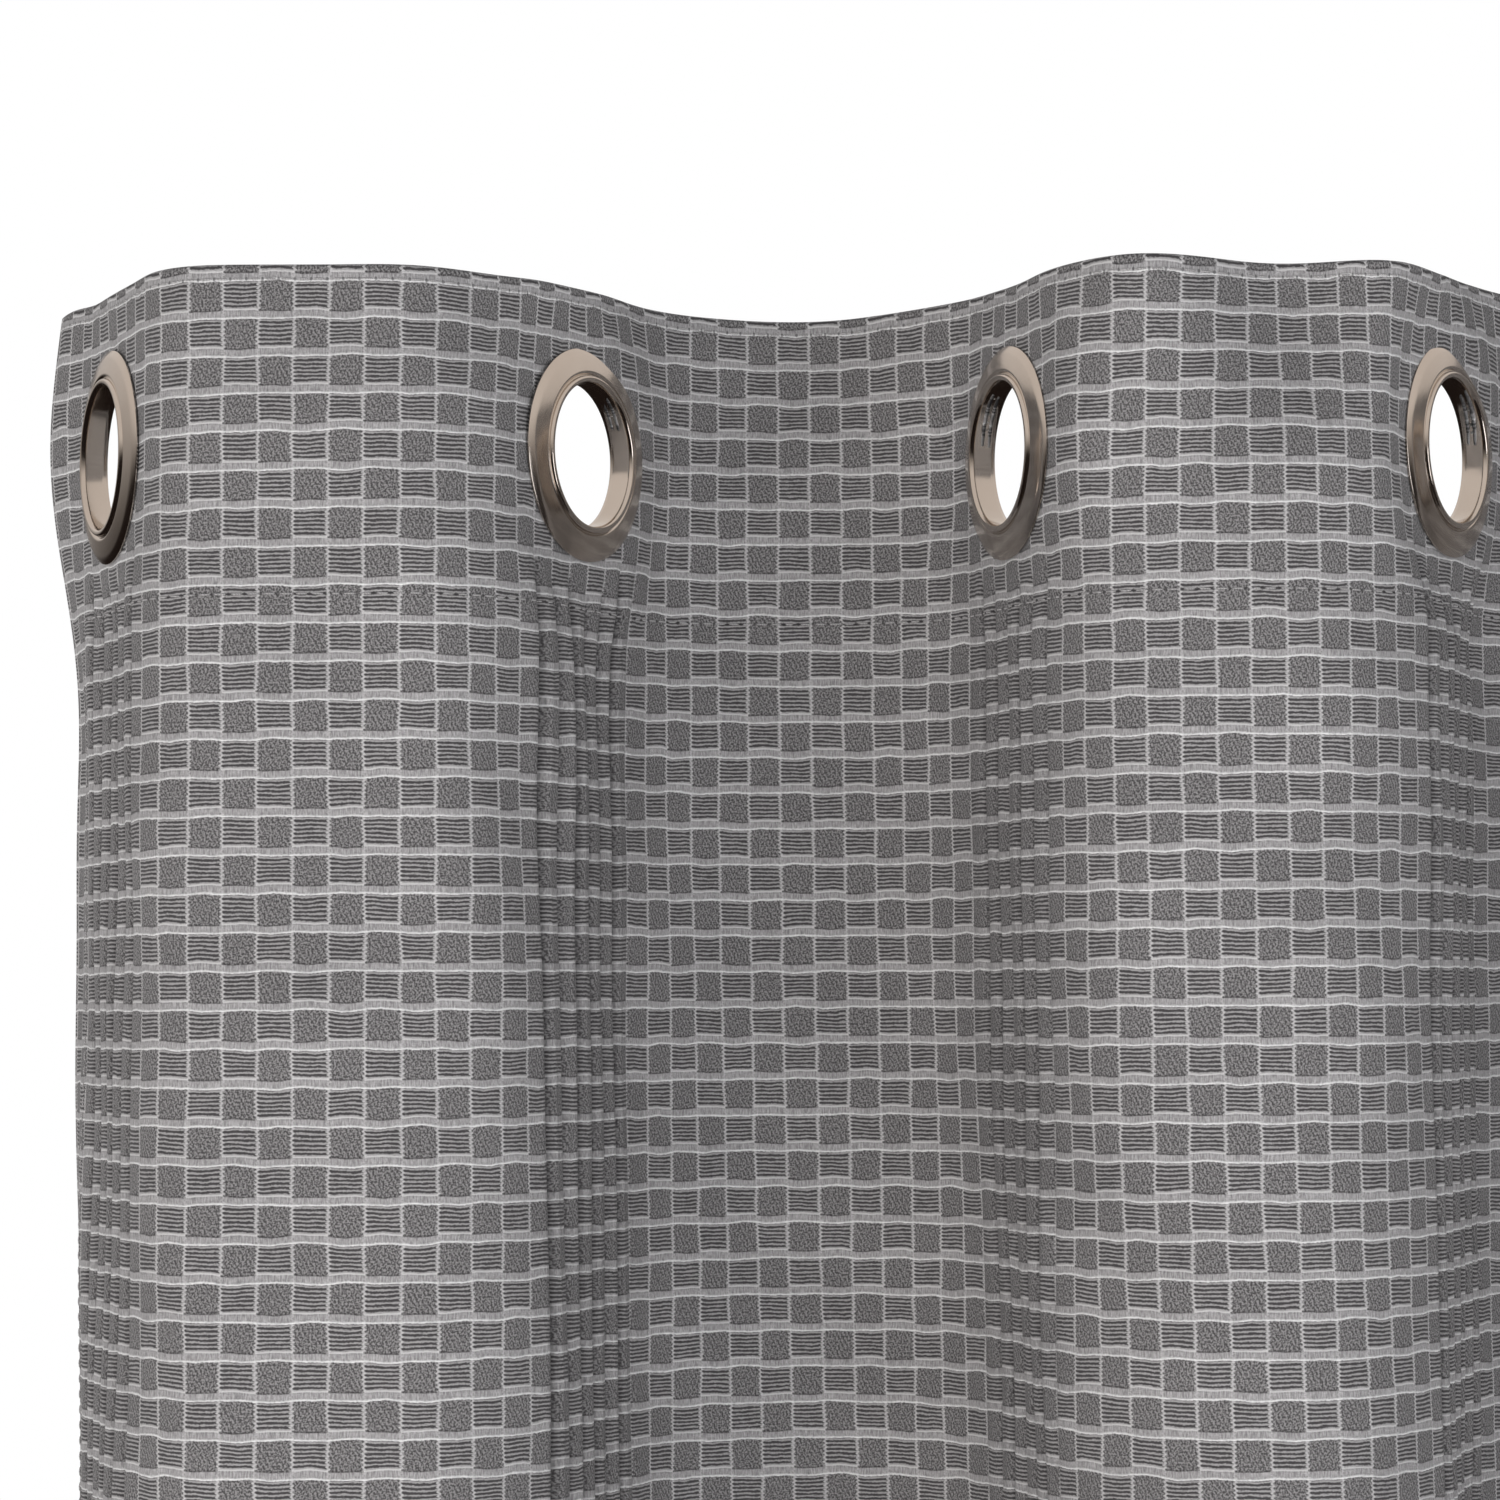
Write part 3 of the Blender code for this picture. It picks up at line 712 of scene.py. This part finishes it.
def cloth_piece(name, low, high, coat):
    """One upright piece of the cloth, from heading to bottom hem, with any side hem and eyelet hole."""
    columns = [(place, place, 0.0, 1.0, 0.0) for place in even_columns(low, high)]
    folded = None
    if low < LEFT_EDGE + TINY:
        extra = [(low - beyond, *rest) for beyond, *rest in edge_columns(low, -1.0)]
        columns = extra[::-1] + columns
        folded = slice(0, len(extra))
    if high > RIGHT_EDGE - TINY:
        extra = [(high + beyond, *rest) for beyond, *rest in edge_columns(high, 1.0)]
        columns += extra
        folded = slice(-len(extra), None)
    across, place, back, facing, turned = (column[None, :] for column in np.array(columns).T)
    length, z, offset, outward, upward = (row[:, None] for row in ROUTE.T)
    place, z = np.broadcast_arrays(place, z)
    middle, normal, sideways = cloth_frame(place, z)
    away = offset - back
    points = middle + normal * away[..., None]
    creased_normal, _ = cloth_tangents(place, z, True)
    lean = (outward * facing)[..., None] * creased_normal
    lean = lean + (outward * turned)[..., None] * sideways
    lean = lean + (upward * facing)[..., None] * np.array([0.0, 0.0, 1.0])
    lean /= np.linalg.norm(lean, axis=-1, keepdims=True)

    # Punch the eyelet's hole: drop the cells inside it and draw the cells around it on to its circle.
    ring = nearest_ring((low + high) / 2)
    over = across - ring * EYELET_SPACING + 0.0 * z
    up = z - EYELET_Z
    radius = np.hypot(over, up)
    cut = radius < HOLE_RADIUS
    keep = clear_cells(cut)
    if folded is not None:
        # The side hem runs under the heading and stops above the bottom hem's fold.
        plain = (offset > LAYER / 2) & (z < TOP_Z - FOLD_CLEAR) & (z > BOTTOM_Z + FOLD_CLEAR)
        keep[:, folded] &= (plain[:-1] & plain[1:])[:, :1]
    dropped = np.pad(~keep & (radius[:-1, :-1] < 2 * HOLE_RADIUS), 1)
    beside = dropped[:-1, :-1] | dropped[1:, :-1] | dropped[:-1, 1:] | dropped[1:, 1:]
    snapped = beside & ~cut & (radius < HOLE_RADIUS + HOLE_SNAP)
    for row, column in zip(*np.nonzero(snapped), strict=True):
        share = HOLE_RADIUS / radius[row, column]
        on_circle = ring * EYELET_SPACING + over[row, column] * share
        spot, spot_normal, _ = cloth_frame(on_circle, EYELET_Z + up[row, column] * share)
        points[row, column] = spot + spot_normal * away[row, column]

    index = np.arange(points[..., 0].size).reshape(points.shape[:2])
    quads = np.stack((index[1:, :-1], index[1:, 1:], index[:-1, 1:], index[:-1, :-1]), axis=-1)[keep]
    flat_uv = np.stack(np.broadcast_arrays(across, np.abs(length)), axis=-1).reshape(-1, 2)
    # Painted shade at the bottom of each crease, carried to the cloth's colour in a UV map.
    shade_in_crease = crease_shape(place, z)[1].ravel()
    uvs = {"flat_cloth": flat_uv, "painted_crease_shade": np.stack((shade_in_crease, 0.0 * shade_in_crease), axis=-1)}
    made = closed_mesh(name, points.reshape(-1, 3), lean.reshape(-1, 3), quads.tolist(), CLOTH, uvs, coat)
    return made


def inner_sheet(name, low, high, bottom, top, offset, thickness, coat, ring=None):
    """A plain sheet that follows the cloth at an offset, with a hole if it's given an eyelet."""
    across = even_columns(low, high)[None, :]
    down = np.linspace(bottom, top, round((top - bottom) / INNER_STEP) + 1)[:, None]
    middle, normal, _ = cloth_frame(across, down)
    points = middle + normal * offset
    area = (high - low) * (top - bottom)
    cut = np.zeros(points.shape[:2], bool)
    if ring is not None:
        cut = np.hypot(across - ring * EYELET_SPACING, down - EYELET_Z) < HOLE_RADIUS
        area -= math.pi * STIFFENER_HOLE**2
    index = np.arange(cut.size).reshape(cut.shape)
    quads = np.stack((index[:-1, :-1], index[:-1, 1:], index[1:, 1:], index[1:, :-1]), axis=-1)
    quads = quads[clear_cells(cut)]
    made = closed_mesh(name, points.reshape(-1, 3), normal.reshape(-1, 3), quads.tolist(), thickness, {}, coat)
    return made


# ---------------------------------------------------------------------------------------------------
# Stitching
# ---------------------------------------------------------------------------------------------------


def stitches(places, heights, offset, side):
    """Points, and faces that index them, of one bowed thread for each stitch. places and heights are those
    of the stitches' starts and ends, and side is 1 on the cloth's right side and -1 on its wrong side."""
    sides, rings = 6, len(THREAD_TAPER)
    points, faces = [], []
    places, heights = np.broadcast_arrays(places, heights)
    share = np.linspace(0.0, 1.0, rings)[None, :]
    place, height = (start[:, None] * (1 - share) + end[:, None] * share for start, end in (places, heights))
    middle, normal, _ = cloth_frame(place, height)
    lift = CLOTH / 2 + THREAD_RADIUS * (1.9 * np.sin(np.pi * share) ** 0.6 - 1.15)
    centre = middle + normal * (offset + side * lift)[..., None]
    along = centre[:, 1:] - centre[:, :-1]
    along = np.concatenate((along[:, :1], (along[:, 1:] + along[:, :-1]) / 2, along[:, -1:]), axis=1)
    along /= np.linalg.norm(along, axis=-1, keepdims=True)
    across = np.cross(along, normal)
    across /= np.linalg.norm(across, axis=-1, keepdims=True)
    out = np.cross(across, along)
    thin = np.array(THREAD_TAPER)[None, :, None]
    for angle in np.arange(sides) * 2 * np.pi / sides:
        points.append(centre + thin * THREAD_RADIUS * (across * math.cos(angle) + out * math.sin(angle)))
    points = np.stack(points, axis=2).reshape(-1, 3)
    for stitch in range(len(place)):
        base = stitch * rings * sides
        for ring in range(rings - 1):
            for corner in range(sides):
                turned = (corner + 1) % sides
                first = base + ring * sides
                faces.append((first + corner, first + turned, first + sides + turned, first + sides + corner))
        faces.append(tuple(base + corner for corner in reversed(range(sides))))
        faces.append(tuple(base + (rings - 1) * sides + corner for corner in range(sides)))
    return points, faces


def thread_piece(name, low, high, coat):
    """All the stitching on one upright piece of cloth."""
    marks = np.arange(math.ceil(low / STITCH - TINY) - 1, math.floor(high / STITCH + TINY) + 2) * STITCH
    marks = np.clip(marks, low, high)
    spans = np.array((marks[:-1] + STITCH_GAP, marks[1:] - STITCH_GAP))
    spans = spans[:, spans[1] - spans[0] > 0.25 * STITCH]
    runs = []
    for z, inside in (
        (TOP_Z - TOP_STITCH, -LAYER),
        (TOP_Z - SEAM_STITCH, -LAYER),
        (BOTTOM_Z + HEM_STITCH, HEM_LAYER),
    ):
        runs += [stitches(spans, z, LAYER, 1.0), stitches(spans, z, inside, -1.0)]
    for edge, inward in ((LEFT_EDGE, 1.0), (RIGHT_EDGE, -1.0)):
        if low - TINY < edge < high + TINY:
            place = edge + inward * SIDE_STITCH
            marks = np.arange(BOTTOM_Z + BOTTOM_HEM + 0.004, SEAM_Z - 0.003, STITCH)
            spans = np.array((marks[:-1] + STITCH_GAP, marks[1:] - STITCH_GAP))
            runs += [stitches(place, spans, LAYER, 1.0), stitches(place, spans, LAYER - 2 * SIDE_TURN, -1.0)]
    faces, base = [], 0
    for some_points, some_faces in runs:
        faces += [tuple(base + corner for corner in face) for face in some_faces]
        base += len(some_points)
    mesh = bpy.data.meshes.new(name)
    mesh.from_pydata(np.concatenate([some_points for some_points, _ in runs]).tolist(), [], faces)
    mesh.shade_smooth()
    made = placed(name, mesh, coat)
    return made


# ---------------------------------------------------------------------------------------------------
# Eyelets
# ---------------------------------------------------------------------------------------------------


def rounded(profile):
    """The closed profile with each corner, given as (radius, height, rounding), turned into an arc."""
    line = []
    for place, (r, h, rounding) in enumerate(profile):
        here = Vector((r, h))
        before = Vector(profile[place - 1][:2]) - here
        after = Vector(profile[(place + 1) % len(profile)][:2]) - here
        reach = min(rounding, 0.45 * before.length, 0.45 * after.length)
        if rounding <= 0.0:
            line.append(here)
            continue
        start, end = here + before.normalized() * reach, here + after.normalized() * reach
        for share in np.linspace(0.0, 1.0, ARC_POINTS):
            line.append(start * (1 - share) ** 2 + here * 2 * share * (1 - share) + end * share**2)
    return line


def lathed(name, profile, ring, coat):
    """A ring turned from its profile, placed square to the cloth at an eyelet."""
    outline = rounded(profile)
    points, faces = [], []
    for step in range(LATHE_STEPS):
        angle = 2 * math.pi * step / LATHE_STEPS
        points += [(p.x * math.cos(angle), p.x * math.sin(angle), p.y) for p in outline]
    count = len(outline)
    for step in range(LATHE_STEPS):
        here, there = step * count, (step + 1) % LATHE_STEPS * count
        for first in range(count):
            second = (first + 1) % count
            faces.append((here + first, there + first, there + second, here + second))
    mesh = bpy.data.meshes.new(name)
    mesh.from_pydata(points, [], faces)
    mesh.shade_smooth()
    made = placed(name, mesh, coat)
    middle, normal, _ = cloth_frame(ring * EYELET_SPACING, EYELET_Z)
    axis = Vector((normal[0], normal[1], 0.0)).normalized()
    upright = Vector((0.0, 0.0, 1.0))
    turned = Matrix((upright.cross(axis), upright, axis)).transposed()
    made.matrix_world = Matrix.Translation(Vector(middle)) @ turned.to_4x4()
    return made


def front_ring(name, ring, coat):
    """Sloped flange with a turned-down edge, a shallow groove, a rolled lip, and the barrel."""
    seat = STACK + PIECE_GAP
    top = seat + FRONT_HEIGHT
    wall = BORE_RADIUS + BARREL_WALL
    profile = [
        (BORE_RADIUS + 0.0007, -(STACK + PIECE_GAP + BACK_HEIGHT), 0.0002),
        (BORE_RADIUS, -STACK - 0.0002, 0.0010),
        (BORE_RADIUS, top - 0.0012, 0.0004),
        (BORE_RADIUS + 0.0005, top - 0.0001, 0.0008),
        (wall + 0.0009, top, 0.0007),
        (wall + 0.0012, top - 0.0014, 0.0004),
        (wall + 0.0021, top - 0.0007, 0.0007),
        (EYELET_RADIUS - 0.0016, seat + 0.0015, 0.0018),
        (EYELET_RADIUS, seat + 0.0006, 0.0009),
        (EYELET_RADIUS - 0.0002, seat, 0.0002),
        (wall, seat, 0.0002),
        (wall, -(STACK + PIECE_GAP + BACK_HEIGHT), 0.0003),
    ]
    return lathed(name, profile, ring, coat)


def back_ring(name, ring, coat):
    """The snap ring: a flat washer with a raised collar round the barrel."""
    seat = -(STACK + PIECE_GAP)
    inside = BORE_RADIUS + BARREL_WALL + PIECE_GAP
    low = seat - BACK_HEIGHT
    profile = [
        (inside, seat, 0.0001),
        (EYELET_RADIUS, seat, 0.0002),
        (EYELET_RADIUS, seat - 0.0007, 0.0006),
        (EYELET_RADIUS - 0.0012, seat - 0.0013, 0.0008),
        (inside + 0.0034, low + 0.0006, 0.0010),
        (inside + 0.0020, low, 0.0008),
        (inside + 0.0004, low, 0.0005),
        (inside, low + 0.0005, 0.0004),
    ]
    return lathed(name, profile, ring, coat)


# ---------------------------------------------------------------------------------------------------
# The whole panel
# ---------------------------------------------------------------------------------------------------


def follow(piece, upright):
    """Rides a wall piece on its eyelet's body; a fold piece stays where it is, with its placement baked into
    its mesh.
    """
    if upright["bodies"][1] is None:
        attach(piece, upright["bodies"][0])
        return
    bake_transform(piece)


def uprights():
    """The upright pieces: one round each eyelet, and two for each fold, which meet at its crest."""
    made = []
    for ring in range(EYELET_COUNT):
        place = ring * EYELET_SPACING
        low = LEFT_EDGE if ring == 0 else place - RING_ZONE
        high = RIGHT_EDGE if ring == EYELET_COUNT - 1 else place + RING_ZONE
        made.append(
            {"tail": f"wall_{ring + 1}", "node": f"wall_{ring + 1}", "low": low, "high": high, "ring": ring,
             "bodies": (f"carrier_{ring + 1}", None)}
        )
    for fold in range(EYELET_COUNT - 1):
        crest = fold * EYELET_SPACING + HALF_FLAT
        crest_x = RINGS_X[fold] + PITCHES[fold] / 2
        zone_x = [float(np.interp(crest + way * (HALF_FLAT - RING_ZONE), HELD[0], HELD[1])) for way in (-1, 1)]
        made.append(
            {"tail": f"fold_{fold + 1}_left", "node": f"fold_{fold + 1}", "ring": None,
             "low": fold * EYELET_SPACING + RING_ZONE, "high": crest,
             "bodies": (f"carrier_{fold + 1}", f"fold_{fold + 1}"),
             "from": zone_x[0] + BLEND_MARGIN, "to": crest_x - BLEND_MARGIN}
        )
        made.append(
            {"tail": f"fold_{fold + 1}_right", "node": f"fold_{fold + 1}", "ring": None,
             "low": crest, "high": (fold + 1) * EYELET_SPACING - RING_ZONE,
             "bodies": (f"fold_{fold + 1}", f"carrier_{fold + 2}"),
             "from": crest_x + BLEND_MARGIN, "to": zone_x[1] - BLEND_MARGIN}
        )
    return made


def main():
    add_camera()
    add_studio()
    cloth, thread = woven_polyester_dobby(), polyester_thread()
    webbing, nickel, ribbon = nonwoven_stiffener(), satin_nickel(), satin_label()

    for upright in uprights():
        tail, low, high = upright["tail"], upright["low"], upright["high"]
        sheet = cloth_piece(f"woven_{tail}", low, high, cloth)
        stiffener = inner_sheet(
            f"interlining_{tail}",
            max(low, LEFT_EDGE + SIDE_HEM + HEM_CLEAR),
            min(high, RIGHT_EDGE - SIDE_HEM - HEM_CLEAR),
            SEAM_Z + HEM_CLEAR,
            TOP_Z - FOLD_CLEAR,
            0.0,
            STIFFENER,
            webbing,
            upright["ring"],
        )
        threads = thread_piece(f"stitching_{tail}", low, high, thread)
        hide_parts(f"cloth_{upright['node']}")
        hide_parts(f"stiffener_{upright['node']}")
        for piece in (sheet, stiffener, threads):
            follow(piece, upright)

    for ring in range(EYELET_COUNT):
        for make, half in ((front_ring, "front"), (back_ring, "back")):
            made = make(f"nickel_{half}_{ring + 1}", ring, nickel)
            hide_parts(f"eyelet_{half}_{ring + 1}")
            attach(made, f"carrier_{ring + 1}")

    label_high = RIGHT_EDGE - LABEL_INSET
    label_low = BOTTOM_Z + BOTTOM_HEM + LABEL_ABOVE_EDGE
    label = inner_sheet(
        "blank_ribbon_label",
        label_high - LABEL_WIDTH,
        label_high,
        label_low,
        label_low + LABEL_HEIGHT,
        LAYER - CLOTH / 2 - 2 * SIDE_TURN - LABEL_THICKNESS,
        LABEL_THICKNESS,
        ribbon,
    )
    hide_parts("care_label")
    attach(label, f"carrier_{EYELET_COUNT}")


main()
